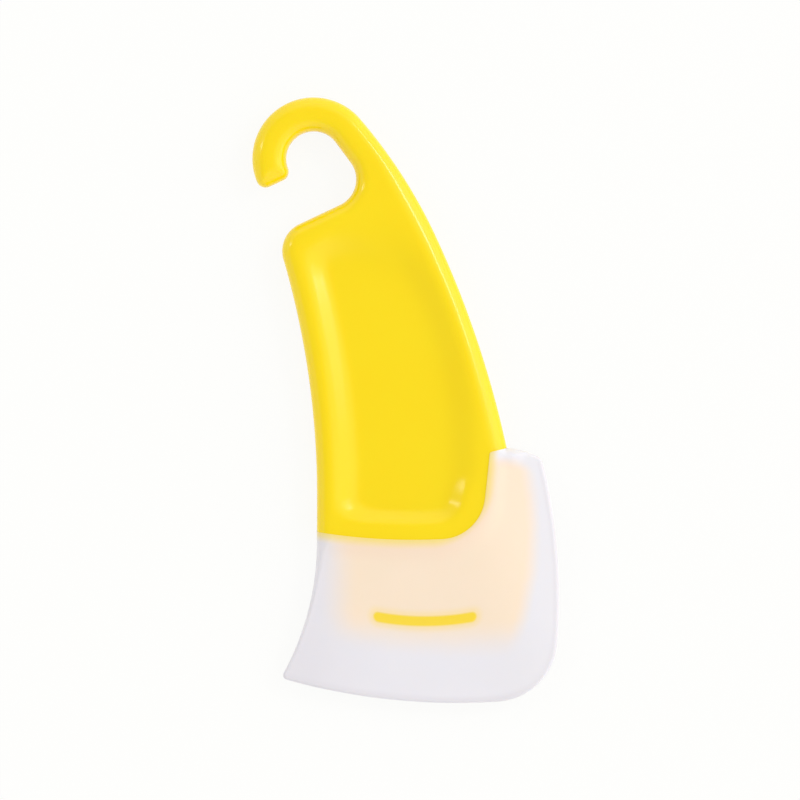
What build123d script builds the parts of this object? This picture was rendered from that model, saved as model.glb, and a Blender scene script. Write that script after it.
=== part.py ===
from build123d import *
from math import cos, radians, sin, sqrt
import os

# Two-shot moulded bowl scraper, lying flat: +Z is its thickness, +Y runs from the blade to the hook,
# and the origin is under the middle of its outline. Millimetres and degrees.
os.makedirs("parts", exist_ok=True)

# Overall size
overall_length = 128.4
overall_width = 65.0
handle_thickness = 8.0
edge_round = 3.2

# Hanging hook
hook_outer_radius = 13.0
hook_bar_width = 7.2
hook_lean = 40.7
hook_inner_lean = 36.5
hook_tip_angle = 215.2
hook_tip_slant = 4.0
hook_tip_round = 2.0
hook_inner_run = 12.6
neck_radius = 6.0

# Grip edges: the outer one bends in two arcs that meet at a join, the inner one is hollow
outer_join_setback = 38.9
outer_join_drop = 29.4
waist_setback = 13.7
waist_height = 44.0
grip_corner_setback = 5.0
grip_corner_drop = 29.2
grip_corner_radius = 6.3

# Shoulder, where the hard handle ends and the soft blade begins
shoulder_height = 34.7
shoulder_radius = 125.0
shoulder_low_setback = 34.0
shoulder_corner_radius = 9.5
shoulder_side_radius = 300.0
shoulder_side_setback = 16.8
notch_setback = 14.7
notch_drop = 0.9
notch_mouth_setback = 11.05
notch_root_radius = 0.6
notch_mouth_radius = 0.8

# Blade outline
blade_bottom_radius = 135.0
blade_side_radius = 122.0
blade_widest_height = 22.2
blade_corner_radius = 13.4
blade_top_height = 54.1
blade_top_radius = 16.0
blade_top_setback = 11.9
blade_top_corner_radius = 2.1
flare_height = 34.2
flare_radius = 58.4
flare_angle = 29.7
tip_radius = 1.0

# Blade thickness
blade_root_thickness = 7.5
lip_thickness = 1.2
bottom_run = 35.7
side_run = 16.8
crease_radius = 60.0

# Tongue inside the blade, and the rib that locates it
tongue_thickness = 2.6
tongue_left_margin = 1.7
tongue_side_margin = 4.6
tongue_bottom_margin = 12.5
tongue_top_margin = 3.0
tongue_top_angle = 120.0
tongue_corner_radius = 4.2
tongue_overlap = 4.0
rib_span = 19.7
rib_width = 2.0
rib_end_height = 18.3
rib_setback = 28.4
rib_bow_radius = 56.0

# Dished thumb panel on each face
dish_depth = 1.7
dish_wall_angle = 45.0
dish_left_margin = 5.3
dish_right_margin = 6.2
dish_bottom_margin = 3.5
dish_side_margin = 3.9
dish_top_drop = 24.7
dish_top_slope_drop = 5.5
dish_heel_radius = 9.5
dish_corner_radius = 5.0
dish_shoulder_radius = 14.0
dish_rim_radius = 1.5
dish_floor_radius = 2.5

# How far tool shapes reach past what they cut, and the share that marks a middle
overrun = 10.0
half_share = 0.5


def on_circle(centre, radius, angle):
    """The point at an angle, in degrees, on a circle."""
    return centre + Vector(cos(radians(angle)), sin(radians(angle))) * radius


def crossing(centre_a, radius_a, centre_b, radius_b, side):
    """The point where two circles cross, left (1) or right (-1) of the line between their centres."""
    span = centre_b - centre_a
    along = (span.length**2 + radius_a**2 - radius_b**2) / (2 * span.length)
    across = sqrt(radius_a**2 - along**2) * side
    unit = span.normalized()
    return centre_a + unit * along + Vector(-unit.Y, unit.X) * across


def between(start, end, share):
    """The size or point that lies a share of the way from one to another."""
    return start + (end - start) * share


# Frame of the outline
left = -overall_width / 2
right = overall_width / 2
bottom = -overall_length / 2
top = overall_length / 2
mid_height = handle_thickness / 2

# Hook circles, and the run from the hook's inside down to the neck
hook_inner_radius = hook_outer_radius - hook_bar_width
hook_centre = Vector(left + hook_outer_radius, top - hook_outer_radius)
hook_outer_tip = on_circle(hook_centre, hook_outer_radius, hook_tip_angle - hook_tip_slant)
hook_inner_tip = on_circle(hook_centre, hook_inner_radius, hook_tip_angle + hook_tip_slant)
hook_tip_middle = between(hook_outer_tip, hook_inner_tip, half_share)
hook_back = on_circle(hook_centre, hook_outer_radius, hook_lean)
hook_inner_start = on_circle(hook_centre, hook_inner_radius, hook_inner_lean)
neck_corner = on_circle(hook_inner_start, hook_inner_run, hook_inner_lean - 90)

# Left edge: a hollow waist above, a straight run past the shoulder and a flare out to the tip below
waist = Vector(left + waist_setback, bottom + waist_height)
grip_corner = Vector(left + grip_corner_setback, top - grip_corner_drop)
waist_radius = (grip_corner - waist).length ** 2 / (waist.X - grip_corner.X) / 2
waist_centre = waist - Vector(waist_radius, 0)
flare_start = Vector(waist.X, bottom + flare_height)
flare_centre = flare_start - Vector(flare_radius, 0)
tip = on_circle(flare_centre, flare_radius, -flare_angle)

# Blade arcs
blade_bottom_rise = bottom + blade_bottom_radius - tip.Y
blade_bottom_centre = Vector(
    tip.X + sqrt(blade_bottom_radius**2 - blade_bottom_rise**2),
    bottom + blade_bottom_radius,
)
blade_side_centre = Vector(right - blade_side_radius, bottom + blade_widest_height)
blade_top_centre = Vector(right - blade_top_setback, bottom + blade_top_height - blade_top_radius)
blade_corner = crossing(blade_bottom_centre, blade_bottom_radius, blade_side_centre, blade_side_radius, 1)
blade_top_corner = crossing(blade_side_centre, blade_side_radius, blade_top_centre, blade_top_radius, 1)
notch_mouth_reach = right - notch_mouth_setback - blade_top_centre.X
notch_mouth = blade_top_centre + Vector(notch_mouth_reach, sqrt(blade_top_radius**2 - notch_mouth_reach**2))

# Outer edge: it leaves the hook tangent to it, and its lower arc runs on to the notch beside the blade
outer_join = Vector(left + outer_join_setback, top - outer_join_drop)
outer_upper = TangentArc(hook_back, outer_join, tangent=on_circle(Vector(0, 0), 1, hook_lean - 90))
outer_lower = TangentArc(outer_join, notch_mouth, tangent=outer_upper % 1)

with BuildSketch() as silhouette:
    with BuildLine():
        CenterArc(hook_centre, hook_outer_radius, hook_lean, hook_tip_angle - hook_tip_slant - hook_lean)
        Line(hook_outer_tip, hook_inner_tip)
        CenterArc(
            hook_centre,
            hook_inner_radius,
            hook_inner_lean,
            hook_tip_angle + hook_tip_slant - hook_inner_lean,
        )
        Line(hook_inner_start, neck_corner)
        Line(neck_corner, grip_corner)
        RadiusArc(grip_corner, waist, waist_radius)
        Line(waist, flare_start)
        RadiusArc(flare_start, tip, flare_radius)
        RadiusArc(tip, blade_corner, -blade_bottom_radius)
        RadiusArc(blade_corner, blade_top_corner, -blade_side_radius)
        RadiusArc(blade_top_corner, notch_mouth, -blade_top_radius)
        add(outer_lower)
        add(outer_upper)
    make_face()
    fillet(silhouette.vertices().sort_by_distance(neck_corner)[0], neck_radius)
    fillet(silhouette.vertices().sort_by_distance(grip_corner)[0], grip_corner_radius)
    fillet(silhouette.vertices().sort_by_distance(notch_mouth)[0], notch_mouth_radius)


# Region of the hard handle: everything above the shoulder line, whose side runs up to the notch
shoulder_centre = Vector(left + shoulder_low_setback, bottom + shoulder_height + shoulder_radius)
shoulder_start = Vector(
    left - overrun,
    shoulder_centre.Y - sqrt(shoulder_radius**2 - (shoulder_low_setback + overrun) ** 2),
)
shoulder_reach = right - shoulder_side_setback - shoulder_centre.X
shoulder_corner = Vector(
    right - shoulder_side_setback,
    shoulder_centre.Y - sqrt(shoulder_radius**2 - shoulder_reach**2),
)
notch_root = Vector(right - notch_setback, bottom + blade_top_height - notch_drop)
notch_outside = notch_mouth * 2 - notch_root

with BuildSketch() as handle_zone:
    with BuildLine():
        RadiusArc(shoulder_start, shoulder_corner, -shoulder_radius)
        RadiusArc(shoulder_corner, notch_root, -shoulder_side_radius)
        Polyline(
            notch_root,
            notch_outside,
            (right + overrun, top + overrun),
            (left - overrun, top + overrun),
            shoulder_start,
        )
    make_face()
    fillet(handle_zone.vertices().sort_by_distance(shoulder_corner)[0], shoulder_corner_radius)
    fillet(handle_zone.vertices().sort_by_distance(notch_root)[0], notch_root_radius)

# Upper half of the whole form with its rounded edge, before it is divided along the shoulder.
# The lip and the end of the hook are left square here.
middle = Plane.XY.offset(mid_height)
blade_lowest = blade_bottom_centre - Vector(0, blade_bottom_radius)
blade_widest = blade_side_centre + Vector(blade_side_radius, 0)

with BuildPart() as upper_form:
    with BuildSketch(middle):
        add(silhouette.sketch)
    extrude(amount=mid_height)
    rim = upper_form.edges().group_by(Axis.Z)[-1]
    square_edges = ShapeList(
        rim.sort_by_distance(point)[0] for point in (hook_tip_middle, blade_lowest, blade_widest)
    )
    fillet(rim - square_edges, edge_round)


# Taper of the blade: one slope falls to the bottom edge and one to the side, blended over the corner
half_root = blade_root_thickness / 2
half_lip = lip_thickness / 2
block_side = overall_length * 2
bottom_direction = (blade_corner - tip).normalized()
crease_probe = between(shoulder_corner, blade_corner, half_share) + Vector(0, 0, mid_height + half_root)


def slope(lip_point, edge_direction, run):
    """The plane that rises from the lip, along one edge, to the thickness of the root over a run."""
    fall = Vector(edge_direction.Y, -edge_direction.X)
    rise = Vector(0, 0, run / (half_root - half_lip))
    return Plane(lip_point + Vector(0, 0, mid_height + half_lip), z_dir=rise + fall)


with BuildPart() as taper:
    Box(block_side, block_side, block_side)
    split(bisect_by=slope(blade_lowest, bottom_direction, bottom_run), keep=Keep.BOTTOM)
    split(bisect_by=slope(blade_widest, Vector(0, 1), side_run), keep=Keep.BOTTOM)
    fillet(taper.edges().sort_by_distance(crease_probe)[0], crease_radius)


# Tongue inside the blade, following the blade's own arcs at a margin, with a bowed rib through to each face
inner_bottom_radius = blade_bottom_radius - tongue_bottom_margin
inner_side_radius = blade_side_radius - tongue_side_margin
inner_top_radius = blade_top_radius - tongue_top_margin
tongue_left = waist.X + tongue_left_margin
tongue_foot = Vector(
    tongue_left,
    blade_bottom_centre.Y - sqrt(inner_bottom_radius**2 - (tongue_left - blade_bottom_centre.X) ** 2),
)
tongue_corner = crossing(blade_bottom_centre, inner_bottom_radius, blade_side_centre, inner_side_radius, 1)
tongue_top_corner = crossing(blade_side_centre, inner_side_radius, blade_top_centre, inner_top_radius, 1)
tongue_top = on_circle(blade_top_centre, inner_top_radius, tongue_top_angle)
tongue_root = Vector(tongue_left, bottom + shoulder_height + tongue_overlap)
rib_end = Vector(right - rib_setback + rib_span / 2, bottom + rib_end_height)

with BuildPart() as core:
    with BuildSketch(middle) as tongue_outline:
        with BuildLine():
            RadiusArc(tongue_foot, tongue_corner, -inner_bottom_radius)
            RadiusArc(tongue_corner, tongue_top_corner, -inner_side_radius)
            RadiusArc(tongue_top_corner, tongue_top, -inner_top_radius)
            Polyline(tongue_top, (tongue_top.X, tongue_root.Y), tongue_root, tongue_foot)
        make_face()
        for corner in (tongue_foot, tongue_corner, tongue_top_corner):
            fillet(tongue_outline.vertices().sort_by_distance(corner)[0], tongue_corner_radius)
    extrude(amount=tongue_thickness / 2)

with BuildPart() as rib:
    with BuildSketch(middle):
        with BuildLine(mode=Mode.PRIVATE):
            bow = RadiusArc(rib_end - Vector(rib_span, 0), rib_end, -rib_bow_radius)
        SlotArc(bow, rib_width)
    extrude(amount=mid_height)
    add(taper.part, mode=Mode.INTERSECT)

# Outline of the dish at the rim: the grip's own arcs at a margin, a sloping top and the shoulder's side
dish_top = top - dish_top_drop
side_direction = (notch_root - shoulder_corner).normalized()
side_line = shoulder_corner - Vector(dish_side_margin, 0)
dish_side_foot = side_line - side_direction * overrun
dish_side_head = side_line + side_direction * (dish_top - side_line.Y) / side_direction.Y

with BuildSketch(Plane.XY.offset(handle_thickness)) as dish_outline:
    with Locations(outer_lower.arc_center):
        Circle(outer_lower.radius - dish_right_margin)
    with Locations(waist_centre):
        Circle(waist_radius + dish_left_margin, mode=Mode.SUBTRACT)
    with Locations(shoulder_centre):
        Circle(shoulder_radius - dish_bottom_margin, mode=Mode.INTERSECT)
    with BuildLine():
        Polyline(
            dish_side_foot,
            dish_side_head,
            (left - overrun, dish_top - dish_top_slope_drop),
            (left - overrun, dish_side_foot.Y),
            close=True,
        )
    make_face(mode=Mode.INTERSECT)
    *lower_corners, heel, peak = [Vector(corner) for corner in dish_outline.vertices().sort_by(Axis.Y)]
    feet, elbows = lower_corners[:2], lower_corners[2:]
    for corners, radius in (
        (feet + [peak], dish_corner_radius),
        (elbows, dish_shoulder_radius),
        ([heel], dish_heel_radius),
    ):
        for corner in corners:
            fillet(dish_outline.vertices().sort_by_distance(corner)[0], radius)

with BuildPart() as handle:
    add(upper_form.part)
    with BuildSketch(middle):
        add(handle_zone.sketch)
    extrude(amount=mid_height, mode=Mode.INTERSECT)
    tip_probe = hook_tip_middle + Vector(0, 0, between(mid_height, handle_thickness, half_share))
    tip_face = handle.faces().sort_by_distance(tip_probe)[0]
    tip_rim = tip_face.edges() - ShapeList(handle.edges().group_by(Axis.Z)[0])
    fillet(tip_rim, hook_tip_round)
    extrude(dish_outline.sketch, amount=-dish_depth, taper=dish_wall_angle, mode=Mode.SUBTRACT)
    fillet(handle.faces().filter_by(Plane.XY).group_by(Axis.Z)[-2].edges(), dish_floor_radius)
    fillet(handle.faces().sort_by(Axis.Z)[-1].inner_wires().edges(), dish_rim_radius)
    add(core.part)
    add(rib.part)
    mirror(about=middle)

with BuildPart() as blade:
    add(upper_form.part)
    with BuildSketch(middle) as blade_outline:
        add(silhouette.sketch)
        add(handle_zone.sketch, mode=Mode.SUBTRACT)
        fillet(blade_outline.vertices().sort_by_distance(tip)[0], tip_radius)
        fillet(blade_outline.vertices().sort_by_distance(blade_corner)[0], blade_corner_radius)
        fillet(blade_outline.vertices().sort_by_distance(blade_top_corner)[0], blade_top_corner_radius)
    extrude(amount=mid_height, mode=Mode.INTERSECT)
    add(taper.part, mode=Mode.INTERSECT)
    add(core.part, mode=Mode.SUBTRACT)
    add(rib.part, mode=Mode.SUBTRACT)
    mirror(about=middle)

for name, piece in (("handle", handle), ("blade", blade)):
    piece.part.label = name
    export_step(piece.part, f"parts/{name}.step")
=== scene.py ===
from math import atan2, cos, pi, radians, sin, sqrt

import bpy
import numpy as np
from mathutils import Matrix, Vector
from mathutils.geometry import delaunay_2d_cdt


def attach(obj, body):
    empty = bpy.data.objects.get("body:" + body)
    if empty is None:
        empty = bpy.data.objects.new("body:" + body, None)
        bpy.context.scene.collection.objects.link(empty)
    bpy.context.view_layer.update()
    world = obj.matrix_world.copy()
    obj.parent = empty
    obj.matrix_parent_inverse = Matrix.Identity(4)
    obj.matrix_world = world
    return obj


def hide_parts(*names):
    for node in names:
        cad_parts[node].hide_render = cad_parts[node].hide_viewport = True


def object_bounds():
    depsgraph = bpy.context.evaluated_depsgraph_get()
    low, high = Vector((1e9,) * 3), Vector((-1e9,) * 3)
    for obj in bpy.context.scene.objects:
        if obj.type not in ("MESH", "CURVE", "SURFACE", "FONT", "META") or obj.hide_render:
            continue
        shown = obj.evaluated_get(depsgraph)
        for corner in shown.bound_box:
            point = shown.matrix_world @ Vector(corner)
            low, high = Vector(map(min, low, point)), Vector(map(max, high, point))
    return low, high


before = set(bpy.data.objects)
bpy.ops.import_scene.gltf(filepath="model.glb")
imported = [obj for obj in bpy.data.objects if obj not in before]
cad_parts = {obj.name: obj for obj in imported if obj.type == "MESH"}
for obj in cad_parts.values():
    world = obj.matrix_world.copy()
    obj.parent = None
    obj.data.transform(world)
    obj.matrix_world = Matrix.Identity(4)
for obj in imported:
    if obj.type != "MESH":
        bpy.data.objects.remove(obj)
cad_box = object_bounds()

MM = 0.001

# The part's sizes, in millimetres and degrees
LENGTH, WIDTH, THICK = 128.4, 65.0, 8.0
LEFT, RIGHT, BOTTOM, TOP, MIDDLE = -WIDTH / 2, WIDTH / 2, -LENGTH / 2, LENGTH / 2, THICK / 2

# Hook and grip outline
HOOK_R, HOOK_BAR, HOOK_LEAN, HOOK_INNER_LEAN = 13.0, 7.2, 40.7, 36.5
HOOK_TIP_ANGLE, HOOK_TIP_SLANT, HOOK_TIP_R = 215.2, 4.0, 2.0
HOOK_INNER_RUN, NECK_R = 12.6, 6.0
JOIN_BACK, JOIN_DROP = 38.9, 29.4
WAIST_BACK, WAIST_UP = 13.7, 44.0
GRIP_CORNER_BACK, GRIP_CORNER_DROP, GRIP_CORNER_R = 5.0, 29.2, 6.3

# Shoulder between the hard handle and the soft blade
SHOULDER_UP, SHOULDER_R, SHOULDER_LOW = 34.7, 125.0, 34.0
SHOULDER_CORNER_R, SHOULDER_SIDE_R, SHOULDER_SIDE = 9.5, 300.0, 16.8
NOTCH_BACK, NOTCH_DROP, NOTCH_MOUTH_BACK, NOTCH_ROOT_R = 14.7, 0.9, 11.05, 0.6

# Blade outline
BOTTOM_R, SIDE_R, TOP_R = 135.0, 122.0, 16.0
CORNER_R, TOP_CORNER_R, TIP_R = 13.4, 2.1, 1.0
WIDEST_UP, TOP_UP, TOP_BACK = 22.2, 54.1, 11.9
FLARE_UP, FLARE_R, FLARE_ANGLE = 34.2, 58.4, 29.7

# Round of the handle's edges: how deep it is everywhere, and how far in it reaches on the grip's outer
# side and at the hook's end. The outer side is the part of the rim that lies right of the hook's centre,
# below its top and past a slanted line, and its round widens over a run on the way down
EDGE_ROUND, OUTER_ROUND, END_ROUND, END_BLEND = 3.2, 4.4, 4.6, 0.6
OUTER_START, OUTER_DROP, OUTER_SLANT, OUTER_OFF = 2.0, 1.0, 0.35, 8.0
WIDEN_DROP, WIDEN_RUN = 10.0, 14.0

# Blade thickness: the taper, the rise at the root, the round of the lip, and the rounded flare and crest
HALF_ROOT, HALF_LIP, ROOT_RISE_RUN = 3.75, 0.6, 5.0
BOTTOM_RUN, SIDE_RUN, CREASE_BLEND = 35.7, 16.8, 1.28
LIP_ROUND, LIP_SHARE, LEAST_HALF = 0.56, 0.06, 0.03
FLARE_WIDE, FLARE_OFF, CREST_DEEP = 8.0, 0.3, 4.0
RIM_BLEND, LEAST_BLEND = 0.3, 0.001

# Tongue and rib inside the blade
TONGUE_LEFT, TONGUE_SIDE, TONGUE_BOTTOM, TONGUE_TOP = 1.7, 4.6, 12.5, 3.0
TONGUE_TOP_ANGLE, TONGUE_R, TONGUE_HALF, TONGUE_OVERLAP = 120.0, 4.2, 1.3, 4.0
RIB_SPAN, RIB_WIDTH, RIB_UP, RIB_BACK, RIB_R = 19.7, 2.0, 18.3, 28.4, 56.0
RIB_SKIN, RIB_ROUND = 0.06, 0.3

# Dish in the grip: depth, how far in the middle of the left and lower walls lies, three points on the
# middle of the right wall, the line along its upper end, and the width of each wall
DISH_DEPTH = 1.7
DISH_LEFT, DISH_LOW = 6.1, 4.7
DISH_RIGHT_TOP, DISH_RIGHT_MIDDLE, DISH_RIGHT_FOOT = (1.4, 29.7), (10.8, 4.3), (11.4, -21.2)
DISH_TOP_START, DISH_TOP_END = (-19.9, 36.6), (-1.2, 44.6)
DISH_LEFT_WIDE, DISH_RIGHT_WIDE, DISH_LOW_WIDE = 6.8, 9.4, 4.4
DISH_TOP_WIDE_LEFT, DISH_TOP_WIDE_RIGHT, DISH_CORNER = 11.0, 24.0, 0.75

# Where the left wall changes its width on the way down: by how much, from which height, over which run
DISH_LEFT_CHANGES = ((1.4, 18.0, 24.0), (-0.8, -14.0, 8.0))

# How far the rims that the walls follow reach past the waist, the grip's corner and the shoulder's corner
DISH_PAST_WAIST, DISH_PAST_GRIP, DISH_PAST_SHOULDER = 0.1, 1.0, 7.0

# How fine the meshes are, in millimetres
STEP, ARC_STEPS = 0.3, 5
ROUND_STEPS = (0.03, 0.1, 0.22, 0.4, 0.62, 0.9, 1.22, 1.6, 2.05, 2.6, 3.2)
SEAM_STEPS, SPACING = (0.3,), 0.75
TONGUE_STEPS, TONGUE_SPACING = (0.5,), 3.0
RIB_STEPS, RIB_SPACING = (0.04, 0.12, 0.24, 0.34), 0.5
RING_SLACK, ROW_SHARE, SHARP_ANGLE = 0.985, 0.866, 50
SAME_POINT, NO_AREA, NO_LENGTH, FAR_AWAY = 1e-6, 1e-15, 1e-12, 1e9


# Plane geometry
def v(x, y):
    return np.array([x, y], float)


def on_circle(centre, radius, angle):
    return centre + v(cos(radians(angle)), sin(radians(angle))) * radius


def crossing(centre_a, radius_a, centre_b, radius_b, side):
    """Where two circles cross, left (1) or right (-1) of the line between their centres."""
    span = centre_b - centre_a
    length = np.hypot(*span)
    along = (length**2 + radius_a**2 - radius_b**2) / (2 * length)
    across = sqrt(radius_a**2 - along**2) * side
    unit = span / length
    return centre_a + unit * along + v(-unit[1], unit[0]) * across


def foot_of(centre, radius, x):
    """The lower point of a circle at a given x."""
    return v(x, centre[1] - sqrt(radius**2 - (x - centre[0]) ** 2))


def centre_between(start, end, radius, side):
    """Centre of the circle through two points, left (1) or right (-1) of the way between them."""
    half = (end - start) / 2
    length = np.hypot(*half)
    return start + half + v(-half[1], half[0]) / length * sqrt(radius**2 - length**2) * side


def centre_of_three(a, b, c):
    """Centre of the circle through three points."""
    a, b, c = np.array(a), np.array(b), np.array(c)
    rows = np.array([b - a, c - a]) * 2
    return np.linalg.solve(rows, np.array([b @ b - a @ a, c @ c - a @ a]))


def tangent_centre(start, end, inward):
    """Centre of the arc from start to end whose centre lies in a given direction from start."""
    chord = end - start
    return start + inward * (chord @ chord) / (2 * (chord @ inward))


def arc(centre, start, end, turn=0):
    """Points from start to end round a centre: the shorter way, or anticlockwise (1) or clockwise (-1)."""
    a, b = atan2(*(start - centre)[::-1]), atan2(*(end - centre)[::-1])
    sweep = (b - a + pi) % (2 * pi) - pi
    if turn * sweep < 0:
        sweep += turn * 2 * pi
    radius = np.hypot(*(start - centre))
    count = max(3, int(abs(sweep) * radius / min(STEP, radius / ARC_STEPS)) + 2)
    angles = a + sweep * np.linspace(0, 1, count)
    return centre + radius * np.c_[np.cos(angles), np.sin(angles)]


def line(start, end):
    """Points from start to end along a straight line."""
    count = max(2, int(np.hypot(*(end - start)) / STEP) + 1)
    return start + (end - start) * np.linspace(0, 1, count)[:, None]


def tangents(path):
    """The path's direction at each of its points."""
    way = np.empty_like(path)
    way[1:-1] = path[2:] - path[:-2]
    way[0], way[-1] = path[1] - path[0], path[-1] - path[-2]
    return way / np.hypot(*way.T)[:, None]


def shifted(path, by):
    """The path moved to its left."""
    way = tangents(path)
    return path + np.c_[-way[:, 1], way[:, 0]] * by


def meeting(path_a, path_b):
    """Where two paths first cross: an index into each, and the point."""
    a, b = path_a[:-1], path_b[:-1]
    da, db = np.diff(path_a, axis=0), np.diff(path_b, axis=0)
    cross = da[:, None, 0] * db[None, :, 1] - da[:, None, 1] * db[None, :, 0]
    cross = np.where(np.abs(cross) < NO_AREA, NO_AREA, cross)
    gap = b[None] - a[:, None]
    t = (gap[..., 0] * db[None, :, 1] - gap[..., 1] * db[None, :, 0]) / cross
    u = (gap[..., 0] * da[:, None, 1] - gap[..., 1] * da[:, None, 0]) / cross
    i, j = np.argwhere((t >= 0) & (t < 1) & (u >= 0) & (u < 1))[0]
    return i, j, a[i] + da[i] * t[i, j]


def joined(*paths):
    """Paths that follow each other, as one path without doubled points."""
    out = [paths[0]]
    for path in paths[1:]:
        out.append(path[1:] if np.hypot(*(path[0] - out[-1][-1])) < SAME_POINT else path)
    return np.vstack(out)


def filleted(first, *corners):
    """Paths that meet at corners, as one path with a fillet at each corner.

    Each corner is the path that follows it, its radius, and 1 for a fillet on the left or -1 for the right.
    """
    out, last = [], first
    for path, radius, side in corners:
        i, j, centre = meeting(shifted(last, radius * side), shifted(path, radius * side))
        way_a, way_b = tangents(last)[i], tangents(path)[j]
        start = centre - v(-way_a[1], way_a[0]) * radius * side
        end = centre - v(-way_b[1], way_b[0]) * radius * side
        out += [last[: i + 1], arc(centre, start, end)]
        last = path[j + 1 :]
    return joined(*out, last)


def to_path(points, path, closed=False):
    """Distance from each point to a path."""
    a = path if closed else path[:-1]
    b = np.roll(path, -1, axis=0) if closed else path[1:]
    best = np.full(len(points), FAR_AWAY)
    for start, end in zip(a, b):
        way = end - start
        t = np.clip(((points - start) @ way) / max(way @ way, NO_LENGTH), 0, 1)
        best = np.minimum(best, np.hypot(*(points - start - t[:, None] * way).T))
    return best


def to_nearest(points, cloud):
    """Distance from each point to the nearest of many closely spaced points."""
    best = np.full(len(points), FAR_AWAY)
    for p in cloud:
        best = np.minimum(best, np.hypot(*(points - p).T))
    return best


def inside(points, loop):
    """Which points lie inside a closed loop."""
    x, y = points.T
    found = np.zeros(len(points), bool)
    for (x0, y0), (x1, y1) in zip(loop, np.roll(loop, -1, axis=0)):
        if y0 != y1:
            found ^= ((y0 > y) != (y1 > y)) & (x < (x1 - x0) * (y - y0) / (y1 - y0) + x0)
    return found


def smooth_min(a, b, blend):
    """The smaller of two values, blended where they are close."""
    reach = np.maximum(blend - np.abs(a - b), 0) / blend
    return np.minimum(a, b) - reach**2 * blend / 4


def ease(t):
    """From 0 to 1 with level ends."""
    t = np.clip(t, 0, 1)
    return t * t * t * (t * (6 * t - 15) + 10)


def quarter(off, radius):
    """Height of a quarter round at a distance from its edge, from 0 to 1."""
    return np.sqrt(1 - (1 - np.clip(off / radius, 0, 1)) ** 2)


# Points that the outlines go through
waist = v(LEFT + WAIST_BACK, BOTTOM + WAIST_UP)
grip_corner = v(LEFT + GRIP_CORNER_BACK, TOP - GRIP_CORNER_DROP)
waist_radius = np.sum((grip_corner - waist) ** 2) / (waist[0] - grip_corner[0]) / 2
waist_centre = waist - v(waist_radius, 0)
flare_start = v(waist[0], BOTTOM + FLARE_UP)
flare_centre = flare_start - v(FLARE_R, 0)
tip = on_circle(flare_centre, FLARE_R, -FLARE_ANGLE)
bottom_centre = v(tip[0] + sqrt(BOTTOM_R**2 - (BOTTOM + BOTTOM_R - tip[1]) ** 2), BOTTOM + BOTTOM_R)
side_centre = v(RIGHT - SIDE_R, BOTTOM + WIDEST_UP)
top_centre = v(RIGHT - TOP_BACK, BOTTOM + TOP_UP - TOP_R)
blade_corner = crossing(bottom_centre, BOTTOM_R, side_centre, SIDE_R, 1)
blade_top_corner = crossing(side_centre, SIDE_R, top_centre, TOP_R, 1)
mouth_reach = RIGHT - NOTCH_MOUTH_BACK - top_centre[0]
notch_mouth = top_centre + v(mouth_reach, sqrt(TOP_R**2 - mouth_reach**2))
notch_root = v(RIGHT - NOTCH_BACK, BOTTOM + TOP_UP - NOTCH_DROP)
shoulder_centre = v(LEFT + SHOULDER_LOW, BOTTOM + SHOULDER_UP + SHOULDER_R)
shoulder_corner = foot_of(shoulder_centre, SHOULDER_R, RIGHT - SHOULDER_SIDE)
shoulder_left = foot_of(shoulder_centre, SHOULDER_R, waist[0])
flank_centre = centre_between(shoulder_corner, notch_root, SHOULDER_SIDE_R, 1)

# Hook, and the outer edge that leaves it in two tangent arcs
hook_centre = v(LEFT + HOOK_R, TOP - HOOK_R)
hook_inner_r = HOOK_R - HOOK_BAR
hook_back = on_circle(hook_centre, HOOK_R, HOOK_LEAN)
hook_outer_tip = on_circle(hook_centre, HOOK_R, HOOK_TIP_ANGLE - HOOK_TIP_SLANT)
hook_inner_tip = on_circle(hook_centre, hook_inner_r, HOOK_TIP_ANGLE + HOOK_TIP_SLANT)
hook_inner_start = on_circle(hook_centre, hook_inner_r, HOOK_INNER_LEAN)
neck_corner = on_circle(hook_inner_start, HOOK_INNER_RUN, HOOK_INNER_LEAN - 90)
join = v(LEFT + JOIN_BACK, TOP - JOIN_DROP)
upper_centre = tangent_centre(hook_back, join, (hook_centre - hook_back) / HOOK_R)
lower_centre = tangent_centre(join, notch_mouth, (upper_centre - join) / np.hypot(*(upper_centre - join)))

# Rib
rib_end = v(RIGHT - RIB_BACK + RIB_SPAN / 2, BOTTOM + RIB_UP)
rib_start = rib_end - v(RIB_SPAN, 0)
rib_centre = centre_between(rib_start, rib_end, RIB_R, 1)


# Outlines
def shoulder_path():
    """From the notch's mouth down the shoulder's side and along its foot to the left edge."""
    return filleted(
        line(notch_mouth, notch_root),
        (arc(flank_centre, notch_root, shoulder_corner), NOTCH_ROOT_R, 1),
        (arc(shoulder_centre, shoulder_corner, shoulder_left), SHOULDER_CORNER_R, -1),
    )


def blade_rim():
    """From the left end of the shoulder round the blade to the notch's mouth."""
    return filleted(
        joined(line(shoulder_left, flare_start), arc(flare_centre, flare_start, tip)),
        (arc(bottom_centre, tip, blade_corner), TIP_R, 1),
        (arc(side_centre, blade_corner, blade_top_corner), CORNER_R, 1),
        (arc(top_centre, blade_top_corner, notch_mouth), TOP_CORNER_R, 1),
    )


def handle_rim():
    """From the notch's mouth up the outer edge, round the hook and down the inner edge to the shoulder."""
    outer = joined(
        arc(lower_centre, notch_mouth, join),
        arc(upper_centre, join, hook_back),
        arc(hook_centre, hook_back, hook_outer_tip, 1),
    )
    inner = joined(
        arc(hook_centre, hook_inner_tip, hook_inner_start, -1), line(hook_inner_start, neck_corner)
    )
    grip = joined(arc(waist_centre, grip_corner, waist), line(waist, shoulder_left))
    return filleted(
        outer,
        (line(hook_outer_tip, hook_inner_tip), HOOK_TIP_R, 1),
        (inner, HOOK_TIP_R, 1),
        (line(neck_corner, grip_corner), NECK_R, -1),
        (grip, GRIP_CORNER_R, 1),
    )


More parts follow.
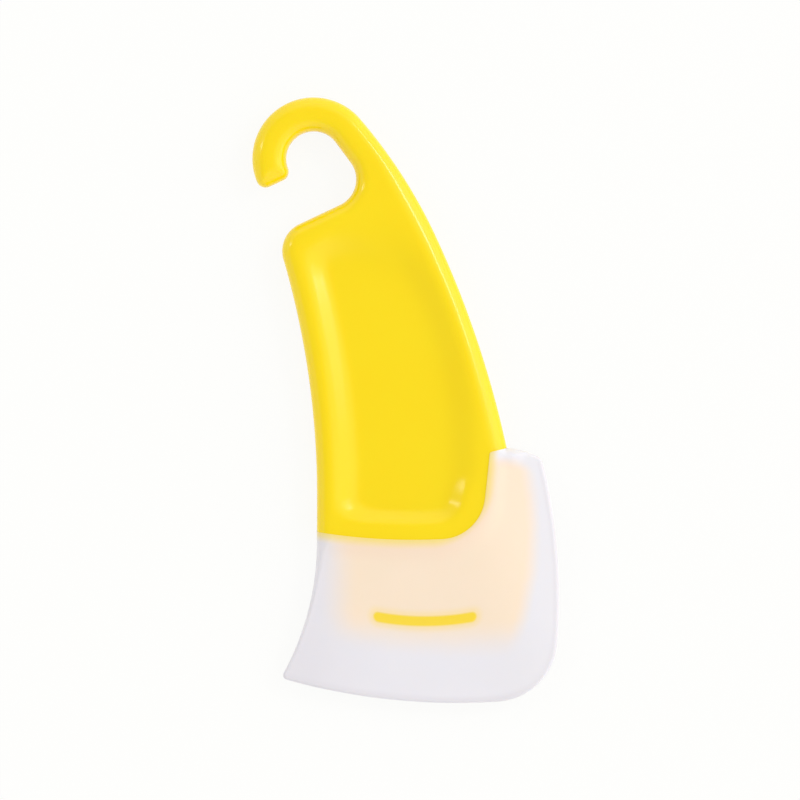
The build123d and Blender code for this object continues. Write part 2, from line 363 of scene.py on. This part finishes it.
def tongue_outline():
    """The tongue follows the blade's own arcs at a margin, and ends inside the handle."""
    left = waist[0] + TONGUE_LEFT
    low_r, side_r, top_r = BOTTOM_R - TONGUE_BOTTOM, SIDE_R - TONGUE_SIDE, TOP_R - TONGUE_TOP
    foot = foot_of(bottom_centre, low_r, left)
    corner = crossing(bottom_centre, low_r, side_centre, side_r, 1)
    peak = crossing(side_centre, side_r, top_centre, top_r, 1)
    end = on_circle(top_centre, top_r, TONGUE_TOP_ANGLE)
    root = v(left, BOTTOM + SHOULDER_UP + TONGUE_OVERLAP)
    below_end = v(end[0], root[1])
    edge = filleted(
        line(root, foot),
        (arc(bottom_centre, foot, corner), TONGUE_R, 1),
        (arc(side_centre, corner, peak), TONGUE_R, 1),
        (arc(top_centre, peak, end), TONGUE_R, 1),
    )
    return joined(edge, line(end, below_end), line(below_end, root)[:-1])


def rib_outline():
    """A bowed slot with round ends."""
    to_start, to_end = (rib_start - rib_centre) / RIB_R, (rib_end - rib_centre) / RIB_R
    outer_r, inner_r = RIB_R + RIB_WIDTH / 2, RIB_R - RIB_WIDTH / 2
    outer = arc(rib_centre, rib_centre + to_start * outer_r, rib_centre + to_end * outer_r)
    inner = arc(rib_centre, rib_centre + to_end * inner_r, rib_centre + to_start * inner_r)
    end_cap = arc(rib_end, outer[-1], inner[0], 1)
    start_cap = arc(rib_start, inner[-1], outer[0], 1)
    return joined(outer, end_cap, inner, start_cap)[:-1]


shoulder = shoulder_path()
blade_edge = blade_rim()
handle_edge = handle_rim()


# Half thickness at points in the plane
def rounded_edge(points, path, reach=EDGE_ROUND):
    """Half thickness under the big edge round, which reaches this far in."""
    return THICK / 2 - EDGE_ROUND + EDGE_ROUND * quarter(to_path(points, path), reach)


def taper(points):
    """Half thickness of the blade before its edges are rounded."""
    chord = (blade_corner - tip) / np.hypot(*(blade_corner - tip))
    rise = (points - bottom_centre + v(0, BOTTOM_R)) @ v(-chord[1], chord[0])
    low = HALF_LIP + rise * (HALF_ROOT - HALF_LIP) / BOTTOM_RUN
    side = HALF_LIP + (RIGHT - points[:, 0]) * (HALF_ROOT - HALF_LIP) / SIDE_RUN
    return smooth_min(low, side, CREASE_BLEND)


def blade_half(points):
    """The taper, flush with the handle at the root, with a rounded flare, crest and lip."""
    x, y = blade_edge.T
    flare = blade_edge[(x < tip[0] + FLARE_WIDE) & (y > tip[1] + FLARE_OFF)]
    crest = blade_edge[(x > 0) & (y > BOTTOM + TOP_UP - CREST_DEEP)]
    root = ease(1 - to_nearest(points, shoulder) / ROOT_RISE_RUN)
    half = taper(points)
    half = half + (THICK / 2 - half) * root
    for path in (flare, crest):
        half = smooth_min(half, rounded_edge(points, path), RIM_BLEND * (1 - root) + LEAST_BLEND)
    lip = LIP_SHARE + (1 - LIP_SHARE) * quarter(to_path(points, blade_edge), LIP_ROUND)
    return np.maximum(half * lip, LEAST_HALF)


def dish(points):
    """Depth of the dish: its left, right and lower walls, and the long rise at its upper end."""
    x, y = handle_edge.T
    left = handle_edge[(x < waist[0] + DISH_PAST_WAIST) & (y < grip_corner[1] + DISH_PAST_GRIP)]
    low = shoulder[shoulder[:, 1] < shoulder_corner[1] + DISH_PAST_SHOULDER]
    left_wide = DISH_LEFT_WIDE
    for change, height, run in DISH_LEFT_CHANGES:
        left_wide = left_wide + change * ease((height - points[:, 1]) / run)
    right_centre = centre_of_three(DISH_RIGHT_TOP, DISH_RIGHT_MIDDLE, DISH_RIGHT_FOOT)
    right_r = np.hypot(*(right_centre - DISH_RIGHT_TOP))

    # Each wall goes from -0.5 at its rim to 0.5 at its foot
    from_left = (to_path(points, left) - DISH_LEFT) / left_wide
    from_right = (right_r - np.hypot(*(points - right_centre).T)) / DISH_RIGHT_WIDE
    from_low = (to_path(points, low) - DISH_LOW) / DISH_LOW_WIDE
    walls = smooth_min(np.minimum(from_left, from_right), from_low, DISH_CORNER)
    depth = DISH_DEPTH * ease(walls + 0.5)

    start, end = np.array(DISH_TOP_START), np.array(DISH_TOP_END)
    length = np.hypot(*(end - start))
    way = (end - start) / length
    below = (points - start) @ v(way[1], -way[0])
    across = ease((points - start) @ way / length)
    return depth * ease(below / (DISH_TOP_WIDE_LEFT + (DISH_TOP_WIDE_RIGHT - DISH_TOP_WIDE_LEFT) * across))


def handle_half(points):
    """The full thickness with rounded edges, less the dish."""
    x, y = handle_edge.T
    outer = handle_edge[(x > hook_centre[0] + OUTER_START) & (y < TOP - OUTER_DROP)]
    outer = outer[outer @ v(1, OUTER_SLANT) > OUTER_OFF]
    reach = EDGE_ROUND + (OUTER_ROUND - EDGE_ROUND) * ease((TOP - WIDEN_DROP - points[:, 1]) / WIDEN_RUN)
    half = np.minimum(rounded_edge(points, handle_edge), rounded_edge(points, outer, reach))
    end = rounded_edge(points, line(hook_outer_tip, hook_inner_tip), END_ROUND)
    return smooth_min(half, end, END_BLEND) - dish(points)


def tongue_half(points):
    return np.full(len(points), TONGUE_HALF)


def rib_half(points):
    """The rib follows the blade's faces under a thin skin, and its edges are rounded."""
    edge = quarter(to_path(points, rib_outline(), True), RIB_ROUND)
    return taper(points) - RIB_SKIN - RIB_ROUND + RIB_ROUND * edge


# Solids, alike above and below their middle
class Lens:
    """Collects outlines with a half thickness each, and builds them as one mesh."""

    def __init__(self, name):
        self.name, self.verts, self.faces, self.count = name, [], [], 0

    @staticmethod
    def scatter(loop, edges, spacing):
        """The loop's points, rings that follow its edges inward, and an even grid in the rest."""
        points = [loop]
        for path, steps in edges:
            for step in steps:
                ring = shifted(path, step)
                ring = ring[inside(ring, loop)]
                points.append(ring[to_path(ring, path) > step * RING_SLACK])
        xs = np.arange(loop[:, 0].min(), loop[:, 0].max(), spacing)
        ys = np.arange(loop[:, 1].min(), loop[:, 1].max(), spacing * ROW_SHARE)
        gx, gy = np.meshgrid(xs, ys)
        gx = gx + (np.arange(len(ys)) % 2)[:, None] * spacing / 2
        grid = np.c_[gx.ravel(), gy.ravel()]
        grid = grid[inside(grid, loop)]
        for path, steps in edges:
            grid = grid[to_path(grid, path) > steps[-1] + spacing / 2]
        return np.vstack([*points, grid])

    def add(self, edges, half_of, spacing):
        """Adds what lies inside a loop, with half_of giving half the thickness at points.

        edges are paths that make an anticlockwise loop together, each with the steps of its rings.
        """
        first, *rest = [path for path, _ in edges]
        loop = np.vstack([first, *[path[1:-1] for path in rest]])
        flat = self.scatter(loop, edges, spacing)
        size = len(loop)
        outline = [(i, (i + 1) % size) for i in range(size)]
        coords, _, faces, originals, _, _ = delaunay_2d_cdt(
            [Vector(p) for p in flat], outline, [], 1, SAME_POINT
        )
        coords = np.array([tuple(c) for c in coords])
        ring = [0] * size
        for new, olds in enumerate(originals):
            for old in olds:
                if old < size:
                    ring[old] = new
        half = half_of(coords)
        above = self.count
        below = above + len(coords)
        self.verts.append(np.vstack([np.c_[coords, MIDDLE + half], np.c_[coords, MIDDLE - half]]))
        self.faces += [tuple(above + i for i in face) for face in faces]
        self.faces += [tuple(below + i for i in reversed(face)) for face in faces]
        for p, q in zip(ring, ring[1:] + ring[:1]):
            if p != q:
                self.faces.append((above + p, below + p, below + q, above + q))
        self.count += 2 * len(coords)

    def build(self):
        mesh = bpy.data.meshes.new(self.name)
        verts = np.clip(np.vstack(self.verts) * MM, tuple(cad_box[0]), tuple(cad_box[1]))
        mesh.from_pydata([tuple(p) for p in verts], [], self.faces)
        mesh.validate()
        mesh.shade_smooth()
        mesh.set_sharp_from_angle(angle=radians(SHARP_ANGLE))
        piece = bpy.data.objects.new(self.name, mesh)
        bpy.context.scene.collection.objects.link(piece)
        return piece


def make_handle():
    lens = Lens("yellow_handle")
    lens.add([(handle_edge, ROUND_STEPS), (shoulder[::-1], SEAM_STEPS)], handle_half, SPACING)
    lens.add([(tongue_outline(), TONGUE_STEPS)], tongue_half, TONGUE_SPACING)
    lens.add([(rib_outline(), RIB_STEPS)], rib_half, RIB_SPACING)
    return lens.build()


def make_blade():
    lens = Lens("silicone_blade")
    lens.add([(blade_edge, ROUND_STEPS), (shoulder, SEAM_STEPS)], blade_half, SPACING)
    return lens.build()


# Material helpers
class Tree:
    """The nodes of a material or world, made by short calls."""

    def __init__(self, owner):
        self.owner = owner
        owner.use_nodes = True
        self.nodes = owner.node_tree.nodes
        self.links = owner.node_tree.links
        self.nodes.clear()

    def add(self, kind, inputs=None, **settings):
        node = self.nodes.new(kind)
        for key, value in settings.items():
            setattr(node, key, value)
        for key, value in (inputs or {}).items():
            if isinstance(value, bpy.types.NodeSocket):
                self.links.new(value, node.inputs[key])
            else:
                node.inputs[key].default_value = value
        return node

    def math(self, operation, a, b=0.0, c=0.0):
        return self.add("ShaderNodeMath", {0: a, 1: b, 2: c}, operation=operation).outputs[0]

    def mix(self, factor, a, b):
        """Two colours; 0, 6 and 7 are the node's sockets for the factor and the colours."""
        return self.add("ShaderNodeMix", {0: factor, 6: a, 7: b}, data_type="RGBA").outputs[2]

    def noise(self, place, scale, detail, roughness=0.5):
        inputs = {"Vector": place, "Scale": scale, "Detail": detail, "Roughness": roughness}
        return self.add("ShaderNodeTexNoise", inputs).outputs[0]

    def smooth(self, value, low, high, to_low=0.0, to_high=1.0):
        """A value between low and high, as a value between to_low and to_high with level ends."""
        inputs = {0: value, 1: low, 2: high, 3: to_low, 4: to_high}
        return self.add("ShaderNodeMapRange", inputs, interpolation_type="SMOOTHSTEP").outputs[0]

    def hypot(self, a, b):
        """Length of the long side of a right angle with sides a and b."""
        squares = self.math("ADD", self.math("MULTIPLY", a, a), self.math("MULTIPLY", b, b))
        return self.math("SQRT", squares)

    def from_centre(self, position, centre):
        """Distance in the plane of the part from a point, in metres."""
        flat = self.add("ShaderNodeVectorMath", {0: position, 1: (1, 1, 0)}, operation="MULTIPLY").outputs[0]
        point = (centre[0] * MM, centre[1] * MM, 0)
        return self.add("ShaderNodeVectorMath", {0: flat, 1: point}, operation="DISTANCE").outputs["Value"]

    def within(self, position, centre, radius):
        """How far inside a circle a place lies, in metres; the radius is in millimetres."""
        return self.math("SUBTRACT", radius * MM, self.from_centre(position, centre))

    def beyond(self, position, centre, radius):
        """How far outside a circle a place lies, in metres; the radius is in millimetres."""
        return self.math("SUBTRACT", self.from_centre(position, centre), radius * MM)


# Noise values between which a roughness goes from its first to its second value
NOISE_RANGE = (0.3, 0.7)


def srgb(red, green, blue):
    """A colour written as 8-bit sRGB, as linear values."""
    out = []
    for value in (red, green, blue):
        c = value / 255
        out.append(c / 12.92 if c <= 0.04045 else ((c + 0.055) / 1.055) ** 2.4)
    return (*out, 1.0)


# Silicone: ranges in millimetres, colours
# The tongue's tint starts and ends inside the blade's edges: side, lip, left and crest
TINT_SIDE_CENTRE, TINT_SIDE_R = (-42.1, -28.6), 69.3
TINT_SIDE, TINT_LOW, TINT_LEFT, TINT_CREST = (-1.9, 2.3), (-3.6, 5.4), (-19.0, -9.8), (-1.6, 1.6)
TINT_WANDER = 2.0

# Painted shade: the silicone is drawn a little darker near the lip's edge, with a rounder corner than the
# outline has
LIP_SHADE_FADE, LIP_CORNER, LIP_SHADE = (1.9, 0.2), 15.7, 0.6

# The shoulder and the rib glow through the silicone beside them
SHOULDER_GLOW, SHOULDER_GLOW_SHARE = (2.3, 0.0), 0.85
SHOULDER_WARMTH, SHOULDER_WARMTH_SHARE = (6.5, 0.0), 0.7
RIB_GLOW, RIB_GLOW_SHARE, RIB_CORE = (2.9, 0.9), 0.5, (1.35, 0.75)

# Painted shade across the blade: the milk is darker on the left, where that side lies in shade, lighter in
# the middle, and a little darker again on the right to offset the key light there
MILK_LEFT_PAINTED_SHADE, MILK_MIDDLE, MILK_RIGHT_PAINTED_SHADE = srgb(230, 227, 232), srgb(236, 234, 239), srgb(234, 232, 236)
MILK_FROM_LEFT, MILK_TO_RIGHT = (-26, 0), (12, 28)
# The cloud is random tone; the lip colour is painted shade
MILK_CLOUD, MILK_CLOUD_SHARE, MILK_LIP_PAINTED_SHADE = srgb(246, 240, 243), 0.25, srgb(225, 221, 226)
PEACH_THIN, PEACH_FULL, PEACH_WARM = srgb(250, 229, 203), srgb(254, 231, 208), srgb(252, 223, 199)
YELLOW_SHOULDER, YELLOW_RIB_GLOW, YELLOW_RIB = srgb(252, 224, 120), srgb(253, 222, 130), srgb(253, 220, 66)
SILICONE_ROUGHNESS = (0.38, 0.5)


def silicone():
    t = Tree(bpy.data.materials.new("milky_silicone"))
    place = t.add("ShaderNodeTexCoord").outputs["Object"]
    split = t.add("ShaderNodeSeparateXYZ", {0: place})
    x, y = split.outputs[0], split.outputs[1]
    cloud = t.noise(place, scale=90.0, detail=2.0)

    def over(value, limits):
        """0 to 1 over a range in millimetres."""
        return t.smooth(value, limits[0] * MM, limits[1] * MM)

    # The tongue shows through as a peach tint, crisp toward the side and top, faint toward the left and lip
    side = t.within(place, TINT_SIDE_CENTRE, TINT_SIDE_R)
    low = t.within(place, bottom_centre, BOTTOM_R - TONGUE_BOTTOM)
    crest = t.within(place, top_centre, TOP_R - TONGUE_TOP)
    crest = t.math("MAXIMUM", crest, t.math("SUBTRACT", top_centre[1] * MM, y))
    wander = t.math("MULTIPLY", t.math("SUBTRACT", cloud, 0.5), TINT_WANDER * MM)
    tint = over(t.math("ADD", side, wander), TINT_SIDE)
    for edge, limits in ((low, TINT_LOW), (x, TINT_LEFT), (crest, TINT_CREST)):
        tint = t.math("MULTIPLY", tint, over(t.math("ADD", edge, wander), limits))

    # How near the lip's edge a place lies, for the painted shade there
    bottom_in = t.within(place, bottom_centre, BOTTOM_R)
    side_in = t.within(place, side_centre, SIDE_R)
    lip = over(t.math("SMOOTH_MIN", bottom_in, side_in, LIP_CORNER * MM), LIP_SHADE_FADE)

    # Distance from the shoulder, whose corner is rounded
    foot_off = t.math("ADD", t.beyond(place, shoulder_centre, SHOULDER_R), SHOULDER_CORNER_R * MM)
    flank_off = t.math("ADD", t.beyond(place, flank_centre, SHOULDER_SIDE_R), SHOULDER_CORNER_R * MM)
    off = t.hypot(t.math("MAXIMUM", foot_off, 0.0), t.math("MAXIMUM", flank_off, 0.0))
    off_shoulder = t.math("SUBTRACT", off, SHOULDER_CORNER_R * MM)

    # Distance from the rib's middle line
    along = t.math("ABSOLUTE", t.math("SUBTRACT", x, rib_centre[0] * MM))
    along = t.math("MAXIMUM", t.math("SUBTRACT", along, RIB_SPAN / 2 * MM), 0.0)
    off_rib = t.hypot(along, t.beyond(place, rib_centre, RIB_R))

    # Painted shade: darker milk on the left and a little darker on the right, from how the light falls
    milk_and_painted_shade = t.mix(over(x, MILK_FROM_LEFT), MILK_LEFT_PAINTED_SHADE, MILK_MIDDLE)
    milk_and_painted_shade = t.mix(over(x, MILK_TO_RIGHT), milk_and_painted_shade, MILK_RIGHT_PAINTED_SHADE)
    milk_and_painted_shade = t.mix(t.math("MULTIPLY", cloud, MILK_CLOUD_SHARE), milk_and_painted_shade, MILK_CLOUD)
    # Painted shade: the milk is darkened near the lip's edge
    milk_and_painted_shade = t.mix(t.math("MULTIPLY", lip, LIP_SHADE), milk_and_painted_shade, MILK_LIP_PAINTED_SHADE)
    colour = t.mix(tint, milk_and_painted_shade, t.mix(cloud, PEACH_THIN, PEACH_FULL))
    warmth = t.math("MULTIPLY", tint, SHOULDER_WARMTH_SHARE)
    colour = t.mix(t.math("MULTIPLY", over(off_shoulder, SHOULDER_WARMTH), warmth), colour, PEACH_WARM)
    glow = t.math("MULTIPLY", over(off_shoulder, SHOULDER_GLOW), SHOULDER_GLOW_SHARE)
    colour = t.mix(glow, colour, YELLOW_SHOULDER)
    colour = t.mix(t.math("MULTIPLY", over(off_rib, RIB_GLOW), RIB_GLOW_SHARE), colour, YELLOW_RIB_GLOW)
    colour = t.mix(over(off_rib, RIB_CORE), colour, YELLOW_RIB)

    grain = t.noise(place, scale=2600.0, detail=3.0, roughness=0.6)
    bump = t.add("ShaderNodeBump", {"Strength": 0.12, "Distance": 0.00004, "Height": grain})
    shader = t.add("ShaderNodeBsdfPrincipled", {
        "Base Color": colour,
        "Roughness": t.smooth(cloud, *NOISE_RANGE, *SILICONE_ROUGHNESS),
        "IOR": 1.41,
        "Subsurface Weight": 0.2,
        "Subsurface Radius": (1.0, 0.85, 0.7),
        "Subsurface Scale": 0.001,
        "Specular IOR Level": 0.35,
        "Normal": bump.outputs[0],
    })
    t.add("ShaderNodeOutputMaterial", {0: shader.outputs[0]})
    return t.owner


# Plastic
YELLOW_DEEP, YELLOW_PALE = srgb(255, 220, 10), srgb(254, 224, 17)
PLASTIC_ROUGHNESS = (0.13, 0.17)


def yellow_plastic():
    t = Tree(bpy.data.materials.new("gloss_yellow_plastic"))
    place = t.add("ShaderNodeTexCoord").outputs["Object"]
    broad = t.noise(place, scale=60.0, detail=2.0)
    fine = t.noise(place, scale=1800.0, detail=3.0, roughness=0.6)
    swell = t.add("ShaderNodeBump", {"Strength": 0.2, "Distance": 0.0002, "Height": broad})
    bump = t.add("ShaderNodeBump", {
        "Strength": 0.05, "Distance": 0.00002, "Height": fine, "Normal": swell.outputs[0],
    })
    shader = t.add("ShaderNodeBsdfPrincipled", {
        "Base Color": t.mix(broad, YELLOW_DEEP, YELLOW_PALE),
        "Roughness": t.smooth(broad, *NOISE_RANGE, *PLASTIC_ROUGHNESS),
        "IOR": 1.49,
        "Specular IOR Level": 0.48,
        "Subsurface Weight": 0.08,
        "Subsurface Radius": (1.0, 0.5, 0.1),
        "Subsurface Scale": 0.0015,
        "Normal": bump.outputs[0],
    })
    t.add("ShaderNodeOutputMaterial", {0: shader.outputs[0]})
    return t.owner


# Pieces
handle = make_handle()
handle.data.materials.append(yellow_plastic())
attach(handle, "root")
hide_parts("handle")

blade = make_blade()
blade.data.materials.append(silicone())
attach(blade, "root")
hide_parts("blade")


# Floor, sky, lamps and camera, in metres
# The floor is seen as near white, and the rest of its shader keeps the part's shadow
FLOOR_REACH, FLOOR_WHITE_SHARE = 3.0, 0.91
FLOOR_DARK, FLOOR_LIGHT, FLOOR_WHITE = (0.9, 0.9, 0.89, 1), (0.93, 0.93, 0.92, 1), (1, 1, 0.985, 1)

# Strength of the sky at the sides, straight above, and added low on the right. Then how far its darker top
# leans, and where the top and the right begin and end, in the direction's x and z
SKY_SIDE, SKY_TOP, SKY_RIGHT = 1.02, 0.39, 0.68
SKY_LEAN_Z, SKY_LEAN_X, SKY_OVER = 0.954, 0.3, (0.7, 0.95)
SKY_RIGHT_X, SKY_RIGHT_Z = (0.45, 0.9), (0.62, 0.4)

# Soft boxes: name, azimuth anticlockwise from the part's right, elevation, distance, width and height, watts
LAMPS = (
    ("key_right", 33, 45, 1.2, (0.42, 0.17), 1.45),
    ("key_soft", 24, 40, 1.25, (0.55, 0.66), 1.05),
    ("fill_left", 160, 42, 1.3, (0.1, 0.5), 0.85),
    ("fill_top", 95, 22, 1.3, (0.8, 0.12), 0.12),
)

# The photograph is 800 by 800 pixels, taken from straight above
PHOTO_SIDE, MM_PER_PIXEL, ORIGIN_PIXEL = 800, 0.2121, (405.6, 400.25)
CAMERA_HEIGHT, SENSOR_MM, CLIP_START, CLIP_END = 1.0, 36.0, 0.01, 20


def make_floor():
    t = Tree(bpy.data.materials.new("pale_floor"))
    rays = t.add("ShaderNodeLightPath").outputs
    place = t.add("ShaderNodeTexCoord").outputs["Object"]
    colour = t.mix(t.noise(place, scale=4.0, detail=2.0), FLOOR_DARK, FLOOR_LIGHT)
    matte = t.add("ShaderNodeBsdfDiffuse", {"Color": colour})
    white = t.add("ShaderNodeEmission", {"Color": FLOOR_WHITE, "Strength": 1.0})
    seen = t.math("MAXIMUM", rays["Is Camera Ray"], rays["Is Glossy Ray"])
    seen = t.math("MAXIMUM", seen, rays["Is Transmission Ray"])
    share = t.math("MULTIPLY", seen, FLOOR_WHITE_SHARE)
    both = t.add("ShaderNodeMixShader", {0: share, 1: matte.outputs[0], 2: white.outputs[0]})
    t.add("ShaderNodeOutputMaterial", {0: both.outputs[0]})
    mesh = bpy.data.meshes.new("floor")
    corners = [(x * FLOOR_REACH, y * FLOOR_REACH, 0) for x, y in ((-1, -1), (1, -1), (1, 1), (-1, 1))]
    mesh.from_pydata(corners, [], [(0, 1, 2, 3)])
    floor = bpy.data.objects.new("floor", mesh)
    mesh.materials.append(t.owner)
    bpy.context.scene.collection.objects.link(floor)


def make_world():
    """Soft light from all sides, a little darker straight above and brighter low on the right."""
    world = bpy.data.worlds.new("studio")
    t = Tree(world)
    way = t.add("ShaderNodeTexCoord").outputs["Generated"]
    split = t.add("ShaderNodeSeparateXYZ", {0: way})
    x, z = split.outputs[0], split.outputs[2]
    over = t.math("SUBTRACT", t.math("MULTIPLY", z, SKY_LEAN_Z), t.math("MULTIPLY", x, SKY_LEAN_X))
    level = t.smooth(over, *SKY_OVER, SKY_SIDE, SKY_TOP)
    low_right = t.math("MULTIPLY", t.smooth(x, *SKY_RIGHT_X), t.smooth(z, *SKY_RIGHT_Z))
    level = t.math("ADD", level, t.math("MULTIPLY", low_right, SKY_RIGHT))
    back = t.add("ShaderNodeBackground", {0: (1, 1, 1, 1), 1: level})
    t.add("ShaderNodeOutputWorld", {0: back.outputs[0]})
    bpy.context.scene.world = world


def make_light(name, azimuth, elevation, distance, size, power):
    """A soft box that faces the part."""
    lamp = bpy.data.lights.new(name, "AREA")
    lamp.shape = "RECTANGLE"
    lamp.size, lamp.size_y = size
    lamp.energy = power
    light = bpy.data.objects.new(name, lamp)
    a, e = radians(azimuth), radians(elevation)
    place = Vector((cos(a) * cos(e), sin(a) * cos(e), sin(e))) * distance
    light.location = place
    light.rotation_euler = place.to_track_quat("Z", "Y").to_euler()
    bpy.context.scene.collection.objects.link(light)


def make_camera():
    data = bpy.data.cameras.new("photo_camera")
    data.sensor_fit = "HORIZONTAL"
    data.sensor_width = SENSOR_MM
    data.lens = SENSOR_MM * CAMERA_HEIGHT / (PHOTO_SIDE * MM_PER_PIXEL * MM)
    data.clip_start, data.clip_end = CLIP_START, CLIP_END
    camera = bpy.data.objects.new("photo_camera", data)
    x = (PHOTO_SIDE / 2 - ORIGIN_PIXEL[0]) * MM_PER_PIXEL * MM
    y = (ORIGIN_PIXEL[1] - PHOTO_SIDE / 2) * MM_PER_PIXEL * MM
    camera.location = (x, y, CAMERA_HEIGHT + MIDDLE * MM)
    bpy.context.scene.collection.objects.link(camera)
    bpy.context.scene.camera = camera


make_floor()
make_world()
for lamp in LAMPS:
    make_light(*lamp)
make_camera()
bpy.context.scene.view_settings.view_transform = "Standard"
